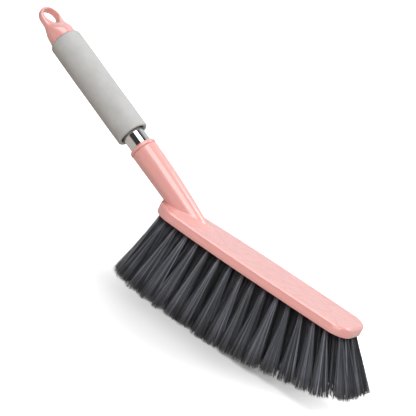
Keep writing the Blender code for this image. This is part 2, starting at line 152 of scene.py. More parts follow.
# %% Selecting in edit mode by place
def pick(test, kind):
    """In edit mode, select the edges or the faces that pass a test."""
    mesh = bpy.context.object.data
    grid = bmesh.from_edit_mesh(mesh)
    bpy.context.tool_settings.mesh_select_mode = (False, kind == "EDGE", kind == "FACE")
    for part in (*grid.verts, *grid.edges, *grid.faces):
        part.select = False
    for part in [part for part in (grid.edges if kind == "EDGE" else grid.faces) if test(part)]:
        part.select_set(True)
    grid.select_flush_mode()
    bmesh.update_edit_mesh(mesh)


# %% A ring drawn up through a profile
def turn_profile(name, profile, sides=96):
    """Extrude a ring through (radius, height) pairs and join the last ring to the first."""
    start_radius, start_height = profile[0]
    bpy.ops.object.select_all(action="DESELECT")
    bpy.ops.mesh.primitive_circle_add(vertices=sides, radius=start_radius,
                                      location=(0, 0, start_height))
    piece = bpy.context.object
    piece.name = name
    place_in_mesh(piece)
    bpy.ops.object.mode_set(mode="EDIT")
    bpy.ops.mesh.select_all(action="SELECT")
    for (radius, height), (next_radius, next_height) in zip(profile, profile[1:]):
        up = (0, 0, next_height - height)
        bpy.ops.mesh.extrude_region_move(TRANSFORM_OT_translate={"value": up})
        scale = next_radius / radius
        bpy.ops.transform.resize(value=(scale, scale, 1), center_override=(0, 0, next_height))
    grid = bmesh.from_edit_mesh(piece.data)
    grid.verts.ensure_lookup_table()
    ends = set(grid.verts[:sides]) | set(grid.verts[-sides:])
    pick(lambda edge: len(edge.link_faces) == 1 and ends.issuperset(edge.verts), "EDGE")
    bpy.ops.mesh.bridge_edge_loops()
    bpy.ops.mesh.select_all(action="SELECT")
    bpy.ops.mesh.normals_make_consistent(inside=False)
    bpy.ops.object.mode_set(mode="OBJECT")
    return piece


def corner(centre_radius, centre_height, radius, start, end, steps=6):
    """Points of a rounded corner in a profile, from one angle to another in degrees."""
    turns = [math.radians(start + (end - start) * step / steps) for step in range(steps + 1)]
    return [(centre_radius + radius * math.cos(turn), centre_height + radius * math.sin(turn))
            for turn in turns]

# %% [markdown]
# ## Finishes
#
# Each finish starts from the real material and how its surface was made. Colours are hex values
# as an image editor shows them. Pattern sizes are real sizes in millimetres, and one small
# function turns them into a texture scale.

# %% Helpers for finishes
def from_hex(text):
    """An sRGB colour in hex, turned to the linear values that shaders work in."""
    parts = [int(text[start:start + 2], 16) / 255 for start in (1, 3, 5)]
    return (*[p / 12.92 if p <= 0.04045 else ((p + 0.055) / 1.055) ** 2.4 for p in parts], 1.0)


def per_size(size_mm):
    """Texture scale that gives features of about this size."""
    return 1 / (size_mm * MM)


def add_node(tree, kind, inputs=None, **settings):
    """Add a node, set it up, and give each named input a value or a link."""
    node = tree.nodes.new(kind)
    for name, value in settings.items():
        setattr(node, name, value)
    for socket, value in (inputs or {}).items():
        if isinstance(value, bpy.types.NodeSocket):
            tree.links.new(value, node.inputs[socket])
        else:
            node.inputs[socket].default_value = value
    return node


def new_material(name, plain):
    """A material with its node tree, its shader's plain values and its place coordinates."""
    material = bpy.data.materials.new(name)
    material.use_nodes = True
    tree = material.node_tree
    shader = tree.nodes["Principled BSDF"]
    for socket, value in plain.items():
        shader.inputs[socket].default_value = value
    where = add_node(tree, "ShaderNodeTexCoord").outputs["Object"]
    return material, tree, shader, where


# %% [markdown]
# ### Pink polypropylene
#
# The head, its collar and the cap are moulded polypropylene. A fine-polished mould leaves a satin
# skin with soft, broad highlights, and light goes a little way into the plastic. The flat top of
# the block has a faint creased grain, like soft leather, from a second version of the plastic,
# with painted shade darkening its creases.

# %% Pink polypropylene
def satin_polypropylene(name):
    """Smooth moulded pink plastic."""
    material, tree, shader, where = new_material(name, {
        "Roughness": 0.30, "IOR": 1.49, "Coat Weight": 1.0, "Coat IOR": 1.6,
        "Coat Roughness": 0.12, "Subsurface Weight": 0.15,
        "Subsurface Radius": (1.0, 0.35, 0.3), "Subsurface Scale": 1.5 * MM})
    cloud = add_node(tree, "ShaderNodeTexNoise",
                     {"Vector": where, "Scale": per_size(14), "Detail": 3.0})
    tone = add_node(tree, "ShaderNodeValToRGB", {"Fac": cloud.outputs["Fac"]})
    darker, lighter = tone.color_ramp.elements
    darker.position, darker.color = 0.3, from_hex("#f3aea9")
    lighter.position, lighter.color = 0.7, from_hex("#f4b1ab")
    skin = add_node(tree, "ShaderNodeTexNoise",
                    {"Vector": where, "Scale": per_size(1.1), "Detail": 2.0})
    relief = add_node(tree, "ShaderNodeBump", {"Height": skin.outputs["Fac"], "Strength": 0.05,
                                               "Distance": 0.05 * MM})
    tree.links.new(tone.outputs["Color"], shader.inputs["Base Color"])
    tree.links.new(relief.outputs["Normal"], shader.inputs["Normal"])
    return material, tree, shader, where, tone, relief


smooth_pink = satin_polypropylene("satin pink polypropylene")[0]
print("finish", smooth_pink.name)

# %% [markdown]
# The creases are the borders of cells about 7.5 mm across, drawn out aslant to the bar and bent
# by a slow noise, with a fine pebble between them. Height above the block's flat top masks them.
# The crease lines are also painted a darker pink, as painted shade.

# %% The creased top
CREASE_SPACING, CREASE_STRETCH, CREASE_SLANT = 7.5, 2.5, math.radians(27)
CREASE_WANDER = 9 * MM
CREASE_DEPTH = 0.5 * MM


def crease_lines(tree, where):
    """1 on the line of a crease, falling to 0 beside it."""
    drift = add_node(tree, "ShaderNodeTexNoise",
                     {"Vector": where, "Scale": per_size(9), "Detail": 3.0})
    shift = add_node(tree, "ShaderNodeVectorMath",
                     {0: drift.outputs["Color"], 1: (0.5, 0.5, 0.5)}, operation="SUBTRACT")
    shift = add_node(tree, "ShaderNodeVectorMath",
                     {0: shift.outputs[0], "Scale": CREASE_WANDER}, operation="SCALE")
    bent = add_node(tree, "ShaderNodeVectorMath",
                    {0: where, 1: shift.outputs[0]}, operation="ADD")
    drawn_out = add_node(tree, "ShaderNodeMapping",
                         {"Vector": bent.outputs[0], "Scale": (CREASE_STRETCH, 1, 1),
                          "Rotation": (0, 0, CREASE_SLANT)}, vector_type="TEXTURE")
    cells = add_node(tree, "ShaderNodeTexVoronoi",
                     {"Vector": drawn_out.outputs[0], "Scale": per_size(CREASE_SPACING)},
                     feature="DISTANCE_TO_EDGE")
    return add_node(tree, "ShaderNodeMapRange",
                    {"Value": cells.outputs["Distance"], "From Min": 0.0, "From Max": 0.10,
                     "To Min": 1.0, "To Max": 0.0}).outputs[0]


def flat_top_mask(tree, where):
    """1 on the flat top of the block, 0 below its rounded rim and above on the neck."""
    place = add_node(tree, "ShaderNodeSeparateXYZ", {"Vector": where})
    above = add_node(tree, "ShaderNodeMath",
                     {0: place.outputs["Z"], 1: HEAD.z + BLOCK_THICKNESS}, operation="SUBTRACT")
    away = add_node(tree, "ShaderNodeMath", {0: above.outputs[0]}, operation="ABSOLUTE")
    return add_node(tree, "ShaderNodeMapRange",
                    {"Value": away.outputs[0], "From Min": 0.1 * MM, "From Max": 0.6 * MM,
                     "To Min": 1.0, "To Max": 0.0}).outputs[0]


def creased_polypropylene(name):
    """The same plastic, with a creased grain and painted shade in its creases on the block's flat
    top.
    """
    material, tree, shader, where, tone, relief = satin_polypropylene(name)
    crease, on_top = crease_lines(tree, where), flat_top_mask(tree, where)
    pebble = add_node(tree, "ShaderNodeTexNoise",
                      {"Vector": where, "Scale": per_size(3.2), "Detail": 4.0, "Roughness": 0.6})
    height = add_node(tree, "ShaderNodeMath",
                      {0: crease, 1: -0.55, 2: pebble.outputs["Fac"]}, operation="MULTIPLY_ADD")
    grain = add_node(tree, "ShaderNodeMath",
                     {0: height.outputs[0], 1: on_top}, operation="MULTIPLY")
    tree.links.new(grain.outputs[0], relief.inputs["Height"])
    relief.inputs["Strength"].default_value = 0.65
    relief.inputs["Distance"].default_value = CREASE_DEPTH
    # Painted shade: the crease lines are painted a darker pink.
    line = add_node(tree, "ShaderNodeMath", {0: crease, 1: on_top}, operation="MULTIPLY")
    painted_crease_shade = add_node(tree, "ShaderNodeMath", {0: line.outputs[0], 1: 0.55}, operation="MULTIPLY")
    blend = add_node(tree, "ShaderNodeMix",
                     {0: painted_crease_shade.outputs[0], 6: tone.outputs["Color"], 7: from_hex("#ea9690")},
                     data_type="RGBA")
    tree.links.new(blend.outputs[2], shader.inputs["Base Color"])
    return material


creased_pink = creased_polypropylene("creased pink polypropylene")
print("finish", creased_pink.name)

# %% [markdown]
# ### Plated steel
#
# The tube is thin steel with a bright nickel and chrome plating. Almost all that the eye sees
# in it is the room: pale walls, with dark gaps between the lamps. A trace of roughness softens
# the edges of these bands.

# %% Plated steel
def uneven_sheen(tree, shader, where, size_mm, detail, smoothest, roughest):
    """Let the roughness wander between two values."""
    patch = add_node(tree, "ShaderNodeTexNoise",
                     {"Vector": where, "Scale": per_size(size_mm), "Detail": detail})
    rough = add_node(tree, "ShaderNodeMapRange",
                     {"Value": patch.outputs["Fac"], "To Min": smoothest, "To Max": roughest})
    tree.links.new(rough.outputs[0], shader.inputs["Roughness"])


def plated_steel():
    """Bright chrome plating on a drawn tube."""
    material, tree, shader, where = new_material(
        "chrome plated steel", {"Base Color": from_hex("#dcdcdd"), "Metallic": 1.0})
    uneven_sheen(tree, shader, where, 2.5, 2.0, 0.05, 0.11)
    return material


chrome = plated_steel()
print("finish", chrome.name)

# %% [markdown]
# ### Grey foam
#
# The sleeve is fine-celled rubber foam. It is dead matt, a little mottled where hands and the
# mould have pressed it, and its cells are about 0.3 mm across. That is too fine to show at this
# distance, so the cells are drawn at 0.9 mm.

# %% Grey foam
def cellular_foam():
    """Matt fine-celled foam with a soft mottle."""
    material, tree, shader, where = new_material("grey cellular foam", {
        "Roughness": 0.92, "Sheen Weight": 0.05, "Sheen Roughness": 0.5})
    mottle = add_node(tree, "ShaderNodeTexNoise",
                      {"Vector": where, "Scale": per_size(11), "Detail": 5.0, "Roughness": 0.62})
    tone = add_node(tree, "ShaderNodeValToRGB", {"Fac": mottle.outputs["Fac"]})
    darker, lighter = tone.color_ramp.elements
    darker.position, darker.color = 0.32, from_hex("#bbbbb9")
    lighter.position, lighter.color = 0.70, from_hex("#c5c5c4")
    cells = add_node(tree, "ShaderNodeTexNoise",
                     {"Vector": where, "Scale": per_size(0.9), "Detail": 2.0})
    height = add_node(tree, "ShaderNodeMath",
                      {0: mottle.outputs["Fac"], 1: 3.0, 2: cells.outputs["Fac"]},
                      operation="MULTIPLY_ADD")
    relief = add_node(tree, "ShaderNodeBump", {"Height": height.outputs[0], "Strength": 0.5,
                                               "Distance": 0.16 * MM})
    tree.links.new(tone.outputs["Color"], shader.inputs["Base Color"])
    tree.links.new(relief.outputs["Normal"], shader.inputs["Normal"])
    return material


foam = cellular_foam()
print("finish", foam.name)

# %% [markdown]
# ### Dark liner and wire
#
# Under the foam sits a stiff black sleeve, seen only as a dark ring in the mouth of the grip. The
# wires that tie down the tufts are galvanised steel and lie hidden in the block.

# %% Dark liner and wire
def black_liner():
    """Extruded black plastic, slightly dusty."""
    material, tree, shader, where = new_material(
        "extruded black plastic", {"Base Color": from_hex("#1c1c1e")})
    uneven_sheen(tree, shader, where, 2, 2.0, 0.45, 0.7)
    return material


def galvanised_wire():
    """Zinc-coated flat wire."""
    material, tree, shader, where = new_material(
        "galvanised wire", {"Base Color": from_hex("#b4b6b8"), "Metallic": 1.0})
    uneven_sheen(tree, shader, where, 1.2, 3.0, 0.3, 0.5)
    return material


liner_black = black_liner()
wire_metal = galvanised_wire()
print("finishes", liner_black.name, "and", wire_metal.name)

# %% [markdown]
# ### Dark filament
#
# The bristles are drawn filaments of dark grey polyester. Each has a soft sheen along its length.
# Every filament carries its own shade in the attribute named shade, and the finish reads its colour
# from it. That shade is partly a random tone and partly painted highlight and painted shade.

# %% Dark filament
def drawn_filament():
    """Dark grey filament whose tone follows the shade of each filament."""
    material, tree, shader, where = new_material(
        "drawn polyester filament", {"Roughness": 0.42, "IOR": 1.57})
    shade_of = add_node(tree, "ShaderNodeAttribute", attribute_name="shade")
    tone = add_node(tree, "ShaderNodeValToRGB", {"Fac": shade_of.outputs["Fac"]})
    dark, light = tone.color_ramp.elements
    # The lightest grey is for the painted highlights on the filaments.
    dark.color, light.color = from_hex("#2a2a2d"), from_hex("#a8abb6")
    tone.color_ramp.elements.new(0.5).color = from_hex("#5c5f67")
    tree.links.new(tone.outputs["Color"], shader.inputs["Base Color"])
    return material


filament = drawn_filament()
print("finishes made", len(bpy.data.materials))

# %% [markdown]
# ## Floor, lamps and surroundings
#
# The photograph has a pure white ground with a soft shadow under the bristles. A large floor
# takes the shadow, and a little white light of its own lifts it to white, more so far away,
# where the lamps no longer reach. The camera sees this white in full. Gloss and glass see a tenth
# of it, because at full strength the left half of the tube can't be told from the background.
# For all other light the paper is grey, so that it doesn't fill the shaded undersides. Seen from
# below the floor is clear, so that the brush can be looked at from there.

# %% What a ray sees of the white background
def background_share(tree, mirror_share):
    """The light path, and all for the camera, a share for gloss and glass, nothing for the rest."""
    path = add_node(tree, "ShaderNodeLightPath")
    mirrored = add_node(tree, "ShaderNodeMath",
                        {0: path.outputs["Is Glossy Ray"], 1: path.outputs["Is Transmission Ray"]},
                        operation="MAXIMUM")
    seen = add_node(tree, "ShaderNodeMath",
                    {0: mirrored.outputs[0], 1: mirror_share, 2: path.outputs["Is Camera Ray"]},
                    operation="MULTIPLY_ADD")
    return path, seen.outputs[0]


# %% The floor
FLOOR_LIFT, FAR_LIFT = 0.03, 1.1
MIRROR_LIFT = 0.10
SHADOW_CENTRE, SHADOW_CORE, SHADOW_RIM = (0.06, -0.05, 0), 0.03, 0.20


def white_paper():
    """Paper that is lifted to white round the shadow."""
    material = bpy.data.materials.new("white studio paper")
    material.use_nodes = True
    tree = material.node_tree
    tree.nodes.clear()
    path, seen = background_share(tree, MIRROR_LIFT)
    where = add_node(tree, "ShaderNodeTexCoord").outputs["Object"]
    away = add_node(tree, "ShaderNodeVectorMath", {0: where, 1: SHADOW_CENTRE},
                    operation="DISTANCE")
    lift = add_node(tree, "ShaderNodeMapRange",
                    {"Value": away.outputs["Value"], "From Min": SHADOW_CORE,
                     "From Max": SHADOW_RIM, "To Min": FLOOR_LIFT, "To Max": FAR_LIFT},
                    interpolation_type="SMOOTHSTEP")
    lift = add_node(tree, "ShaderNodeMath", {0: seen, 1: lift.outputs[0]}, operation="MULTIPLY")
    tone = add_node(tree, "ShaderNodeMix",
                    {0: path.outputs["Is Camera Ray"], 6: from_hex("#b9afa7"),
                     7: from_hex("#e9e9e9")}, data_type="RGBA")
    paper = add_node(tree, "ShaderNodeBsdfDiffuse", {"Color": tone.outputs[2]})
    glow = add_node(tree, "ShaderNodeEmission",
                    {"Color": (1, 1, 1, 1), "Strength": lift.outputs[0]})
    both = add_node(tree, "ShaderNodeAddShader", {0: paper.outputs[0], 1: glow.outputs[0]})
    under = add_node(tree, "ShaderNodeNewGeometry").outputs["Backfacing"]
    clear = add_node(tree, "ShaderNodeBsdfTransparent")
    side = add_node(tree, "ShaderNodeMixShader",
                    {0: under, 1: both.outputs[0], 2: clear.outputs[0]})
    add_node(tree, "ShaderNodeOutputMaterial", {"Surface": side.outputs[0]})
    return material


bpy.ops.mesh.primitive_plane_add(size=12, location=(0, 0, 0))
floor = bpy.context.object
floor.name = "studio_floor"
floor.data.materials.append(white_paper())
print("floor", [round(value, 2) for value in floor.dimensions])

# %% [markdown]
# Three soft lamps make the light. The key hangs above and in front: its reflection is the bright
# stripe along the neck, and its light fades round the grip to a shaded left edge. The second is a
# broad fill beside the camera, for the block's side and the bristles. The third stands above and
# behind. It lights the top of the block and throws the soft shadow forwards.

# %% The lamps
def add_lamp(name, place, target, size, power):
    """A rectangular studio lamp that looks at a point."""
    bpy.ops.object.light_add(type="AREA", location=place)
    lamp = bpy.context.object
    lamp.name = name
    lamp.data.shape = "RECTANGLE"
    lamp.data.size, lamp.data.size_y = size
    lamp.data.energy = power
    lamp.rotation_euler = (Vector(target) - lamp.location).to_track_quat("-Z", "Y").to_euler()


AT_NECK, AT_BRISTLES = (-0.03, 0, 0.08), (0.02, 0, 0.03)
add_lamp("key_softbox", (-0.20, -0.50, 1.20), AT_NECK, (1.3, 0.8), 9.8)
add_lamp("side_fill", (0.65, -0.98, 0.68), AT_NECK, (1.3, 1.3), 10.0)
add_lamp("back_softbox", (0.50, 0.50, 1.05), AT_BRISTLES, (0.7, 0.7), 6.0)

# %% [markdown]
# The room is pale behind the brush and dark on the camera's side. The dark part is what gives the
# plated tube its black band, so gloss and glass see only a trace of white there. Where the camera
# looks past the floor it sees plain white.

# %% The surroundings
ROOM_LIFT = 0.05


def make_surroundings():
    """White where the camera looks past the floor, a room that darkens towards the camera."""
    world = bpy.data.worlds.new("white studio")
    bpy.context.scene.world = world
    world.use_nodes = True
    tree = world.node_tree
    tree.nodes.clear()
    path, seen = background_share(tree, ROOM_LIFT)
    towards = add_node(tree, "ShaderNodeTexCoord").outputs["Generated"]
    way = add_node(tree, "ShaderNodeSeparateXYZ", {"Vector": towards})
    level = add_node(tree, "ShaderNodeMapRange",
                     {"Value": way.outputs["Y"], "From Min": 0.1, "From Max": 0.6,
                      "To Min": 0.0, "To Max": 0.8})
    room = add_node(tree, "ShaderNodeBackground",
                    {"Color": from_hex("#f4f6f8"), "Strength": level.outputs[0]})
    white = add_node(tree, "ShaderNodeBackground", {"Color": (1, 1, 1, 1), "Strength": 1.0})
    mix = add_node(tree, "ShaderNodeMixShader",
                   {0: seen, 1: room.outputs[0], 2: white.outputs[0]})
    add_node(tree, "ShaderNodeOutputWorld", {"Surface": mix.outputs[0]})


make_surroundings()
bpy.context.scene.view_settings.view_transform = "Standard"

# %% [markdown]
# ## The tube, its liner and the collar
#
# The tube is drawn steel, cut square. A lathe would turn each of these parts from a profile, so
# here a ring of points is extruded up through that profile. The last ring is bridged to the
# first, so that each part has its bore and is closed.

# %% Heights along the handle, from its foot on the block
COLLAR_TOP = 78.1 * MM
COLLAR_HEIGHT = 3.7 * MM
NECK_MOUTH = COLLAR_TOP - COLLAR_HEIGHT - 0.3 * MM
SOCKET_BOTTOM = NECK_MOUTH - 36.0 * MM
GRIP_BOTTOM = 91.3 * MM
GRIP_TOP = GRIP_BOTTOM + 105.5 * MM
TUBE_RADIUS = 9.5 * MM
TUBE_BORE = 8.9 * MM
COLLAR_RADIUS = 12.0 * MM
GRIP_RADIUS = 14.44 * MM
GRIP_BORE = 11.54 * MM
GAP = 0.3 * MM


# %% The plated tube
def make_tube():
    """A thin tube with a small rounding on its cut ends."""
    low, high, ease = SOCKET_BOTTOM + GAP, GRIP_TOP, 0.15 * MM
    profile = [(TUBE_BORE, low + ease), (TUBE_BORE + ease, low), (TUBE_RADIUS - ease, low),
               (TUBE_RADIUS, low + ease), (TUBE_RADIUS, high - ease), (TUBE_RADIUS - ease, high),
               (TUBE_BORE + ease, high), (TUBE_BORE, high - ease)]
    tube = turn_profile("plated_tube", profile, sides=128)
    lay_on_handle(tube)
    shade(tube)
    finish_piece(tube, "brush", "chromed_steel", chrome, "handle_tube")


make_tube()


# %% The liner in the mouth of the grip
def make_liner():
    """A stiff sleeve, set back in the grip's mouth, with a rounded lip."""
    low, high = GRIP_BOTTOM + 1.6 * MM, GRIP_TOP
    inner, outer = TUBE_RADIUS + GAP, GRIP_BORE - GAP
    middle, lip = (inner + outer) / 2, (outer - inner) / 2
    profile = corner(middle, low + lip, lip, 180, 360, steps=8) + [(outer, high), (inner, high)]
    liner = turn_profile("dark_liner", profile)
    lay_on_handle(liner)
    shade(liner)
    finish_piece(liner, "brush", "black_plastic", liner_black, "grip_liner")


make_liner()


# %% The collar on the neck's mouth
def make_collar():
    """A half-round bead with a groove below it."""
    bore, waist, bead = TUBE_RADIUS + GAP, COLLAR_RADIUS - 0.65 * MM, 1.45 * MM
    crown = COLLAR_HEIGHT - bead
    profile = [(bore, 0.0), (waist - 0.15 * MM, 0.0), (waist, 0.15 * MM), (waist, 0.45 * MM)]
    profile += corner(COLLAR_RADIUS - 0.55 * MM, 1.0 * MM, 0.55 * MM, -80, 0, steps=4)
    profile += corner(COLLAR_RADIUS - bead, crown, bead, 0, 90, steps=8)
    profile += [(bore + 0.35 * MM, COLLAR_HEIGHT), (bore, COLLAR_HEIGHT - 0.35 * MM)]
    collar = turn_profile("neck_bead", profile)
    lay_on_handle(collar, COLLAR_TOP - COLLAR_HEIGHT)
    shade(collar, 50)
    finish_piece(collar, "brush", "pink_polypropylene", smooth_pink, "neck_collar")


make_collar()

# %% [markdown]
# ## The foam grip
#
# The sleeve is pushed on the tube and is soft, so nothing about it is perfectly straight. It is
# turned from a profile with rounded ends, gets extra rings along its length, and its outside then
# swells and sinks by a tenth of a millimetre or two.

# %% The foam grip
GRIP_UNEVENNESS = 0.045 * MM


def make_grip():
    """A soft sleeve with rounded ends and a slightly uneven outside."""
    low, high, mouth, shoulder = GRIP_BOTTOM, GRIP_TOP, 0.6 * MM, 1.2 * MM
    crown = 2.4 * MM
    profile = corner(GRIP_BORE + mouth, low + mouth, mouth, 180, 270, steps=4)
    profile += corner(GRIP_RADIUS - shoulder, low + shoulder, shoulder, -90, 0)
    first, last = low + shoulder, high - crown
    profile += [(GRIP_RADIUS, first + (last - first) * step / 36) for step in range(1, 36)]
    profile += corner(GRIP_RADIUS - crown, high - crown, crown, 0, 90, steps=8)
    profile += [(GRIP_BORE, high)]
    grip = turn_profile("foam_grip", profile)
    for vert in grip.data.vertices:
        x, y, z = vert.co
        radius = math.hypot(x, y)
        if radius > GRIP_BORE + 2 * mouth:
            turn = math.atan2(y, x)
            swell = math.sin(3 * turn + z * 70) + math.sin(2 * turn - z * 45 + 1)
            swell += math.sin(z * 110 + 2)
            change = 1 - (3 - swell) * GRIP_UNEVENNESS / radius
            vert.co.x, vert.co.y = x * change, y * change
    lay_on_handle(grip)
    shade(grip, 60)
    finish_piece(grip, "brush", "grey_foam", foam, "grip_sleeve")


make_grip()

# %% [markdown]
# ## The hanging cap
#
# The cap is one small moulding: a round foot that flattens into a broad loop. It starts as a disc
# that is extruded up through many sections, round at first and then ever flatter. The hanging
# hole is cut with a Boolean, and a fine voxel remesh with a little smoothing then rounds the rim
# of the hole, as a polished mould would. The cap stands turned a little in the photograph, and
# the loop leans by a hair, so both are set here as they were measured.

# %% Sections of the cap
CAP_SEAT = GRIP_TOP + GAP
CAP_HEIGHT = 34.6 * MM
CAP_TURN = math.radians(-13.8)
LOOP_HALF_WIDTH = 11.24 * MM
LOOP_CENTRE = CAP_HEIGHT - LOOP_HALF_WIDTH
LOOP_HALF_THICKNESS = 3.67 * MM
LOOP_SQUARENESS = 3.76
CAP_LEAN = Vector((0.052, 0.013, 0))
# Height, half thickness and half width of each section below the loop, in millimetres
CAP_SECTIONS = ((0, 12.35, 12.2), (1.2, 12.25, 12.03), (2.4, 12.1, 11.95), (3.6, 11.9, 11.95),
                (4.8, 11.61, 12.04), (6, 11.18, 12.15), (7.2, 10.61, 12.23), (8.4, 9.84, 12.24),
                (9.6, 8.93, 12.21), (10.8, 8.02, 12.12), (12, 7.11, 11.87), (13.2, 6.26, 11.57),
                (14.4, 5.51, 11.37), (15.6, 4.84, 11.24), (16.8, 4.28, 11.17), (18, 3.93, 11.14),
                (19.4, 3.75, 11.15), (20.8, 3.68, 11.17), (22.2, 3.67, 11.2))


def slab_ring(height, half_thickness, half_width, squareness, sides=64):
    """A ring across the cap: a circle for squareness 2, a soft-cornered slab for more."""
    ring = []
    for step in range(sides):
        turn = math.tau * step / sides
        x, y = math.cos(turn), math.sin(turn)
        ring.append(Vector((math.copysign(abs(x) ** (2 / squareness), x) * half_thickness,
                            math.copysign(abs(y) ** (2 / squareness), y) * half_width, height)))
    return ring


def grow_rings(name, rings):
    """Start from a disc and extrude it ring by ring, setting each new ring in its place."""
    sides = len(rings[0])
    bpy.ops.object.select_all(action="DESELECT")
    bpy.ops.mesh.primitive_circle_add(vertices=sides, radius=1 * MM, fill_type="NGON")
    piece = bpy.context.object
    piece.name = name
    for vert, point in zip(piece.data.vertices, rings[0]):
        vert.co = point
    bpy.ops.object.mode_set(mode="EDIT")
    bpy.ops.mesh.select_all(action="SELECT")
    for lower, upper in zip(rings, rings[1:]):
        bpy.ops.mesh.extrude_region_move()
        grid = bmesh.from_edit_mesh(piece.data)
        for vert in [vert for vert in grid.verts if vert.select]:
            nearest = min(range(sides), key=lambda step: (vert.co - lower[step]).length_squared)
            vert.co = upper[nearest]
        bmesh.update_edit_mesh(piece.data)
    bpy.ops.mesh.select_all(action="SELECT")
    bpy.ops.mesh.normals_make_consistent(inside=False)
    bpy.ops.object.mode_set(mode="OBJECT")
    return piece


# %% Softening a piece
def soften(piece, voxel, rounds):
    """Give a piece an even fine skin and smooth it a little, which rounds its sharp edges."""
    skin = piece.modifiers.new("even skin", "REMESH")
    skin.mode, skin.voxel_size = "VOXEL", voxel
    ease = piece.modifiers.new("rounding", "SMOOTH")
    ease.factor, ease.iterations = 0.5, rounds
    apply_modifiers(piece)
    bpy.ops.object.shade_smooth()


# %% The cap
def cap_rings():
    """Sections from the foot to the tip of the loop, each pushed aside by the cap's lean."""
    rings = []
    for height, half_thickness, half_width in CAP_SECTIONS:
        share = min(1, max(0, height * MM / LOOP_CENTRE - 0.25) / 0.6)
        rings.append(slab_ring(height * MM, half_thickness * MM, half_width * MM,
                               2 + (LOOP_SQUARENESS - 2) * share))
    for step in range(22):
        turn = math.pi / 2 * step / 22
        rings.append(slab_ring(LOOP_CENTRE + LOOP_HALF_WIDTH * math.sin(turn),
                               LOOP_HALF_THICKNESS * math.cos(turn) ** 0.25,
                               LOOP_HALF_WIDTH * math.cos(turn), LOOP_SQUARENESS))
    return [[point + CAP_LEAN * point.z for point in ring] for ring in rings]


def cut_hole(cap):
    """Cut the hanging hole: round above, with sides that draw in to a narrow foot."""
    foot, half_foot, radius, dip = 15.0 * MM, 2.0 * MM, 7.86 * MM, math.radians(12)
    middle = LOOP_CENTRE + 0.97 * MM
    outline = [(-half_foot, foot), (half_foot, foot)]
    for step in range(41):
        turn = (math.pi + 2 * dip) * step / 40 - dip
        outline.append((radius * math.cos(turn), middle + radius * math.sin(turn)))
    rings = [[Vector((reach, y + CAP_LEAN.y * z, z)) for y, z in outline]
             for reach in (-14 * MM, 14 * MM)]
    combine(cap, grow_rings("hole_cutter", rings), "DIFFERENCE")


def make_cap():
    """The loop cap with its spigot."""
    cap = grow_rings("loop_cap", cap_rings())
    bpy.ops.object.select_all(action="DESELECT")
    bpy.ops.mesh.primitive_cylinder_add(vertices=64, radius=TUBE_BORE - GAP, depth=18 * MM,
                                        location=(0, 0, -8 * MM))
    spigot = bpy.context.object
    place_in_mesh(spigot)
    combine(cap, spigot, "UNION")
    cut_hole(cap)
    soften(cap, 0.38 * MM, 9)
    cap.rotation_euler.z = CAP_TURN
    place_in_mesh(cap)
    lay_on_handle(cap, CAP_SEAT)
    finish_piece(cap, "cap", "pink_polypropylene", smooth_pink, "hang_cap")


make_cap()

# %% [markdown]
# ## The block of the head
#
# The block is a long bar. Its neck end is fully round, its nose has round corners, and its sides
# draw in a little towards both ends. It starts as a cube: the upright corners of the nose are
# bevelled, cuts across the bar give the sides points, and each point is then moved in to the
# outline. The rims are bevelled last, softly above and finely below, and a thin inset round the
# flat top keeps its shading level.

# %% The block
TOP_RIM, LOW_RIM = 1.6 * MM, 0.5 * MM
HAIR = 0.01 * MM


def draw_in(x):
    """Share of the full width that is left at x: the sides draw in towards both ends."""
    widest = 111 * MM
    if x < widest:
        narrowing, away = 6.1 * MM, (widest - x) / widest
    else:
        narrowing, away = 1.0 * MM, (x - widest) / (BLOCK_LENGTH - widest)
    return 1 - narrowing * away ** 2 / (BLOCK_WIDTH / 2)


def shape_sides(piece):
    """Round the neck end and draw in the sides."""
    for vert in piece.data.vertices:
        x = vert.co.x - HEAD.x
        past = max(0, (HEEL_ROUND - x) / HEEL_ROUND)
        vert.co.y *= draw_in(x) * math.sqrt(max(0, 1 - past ** 2))


